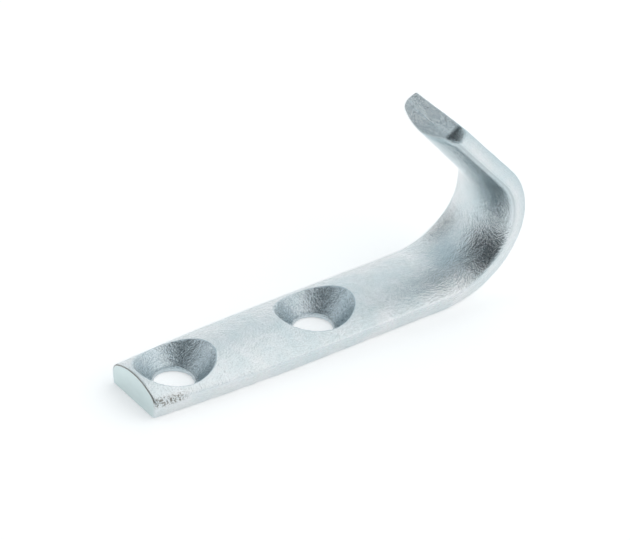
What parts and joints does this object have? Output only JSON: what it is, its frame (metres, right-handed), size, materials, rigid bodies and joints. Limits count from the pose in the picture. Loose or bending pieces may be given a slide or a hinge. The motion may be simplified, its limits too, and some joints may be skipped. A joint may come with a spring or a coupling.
{
  "type": "rope hook",
  "caption": "Forged steel hook with a flat-backed mounting bar, countersunk screw holes and an end bent up and back to hold a rope.",
  "frame": {"origin": "on the flat back, midway between the two screw holes", "axes": "+X along the bar towards the bend, +Z away from the mounting surface, +Y across the bar"},
  "size_m": [0.0954, 0.0207, 0.0459],
  "materials": {
    "zinc_plated_steel": "bright bluish zinc plating over a pebbled forged skin"
  },
  "bodies": {
    "root": {"rope_hook": "zinc_plated_steel"}
  },
  "joints": []
}
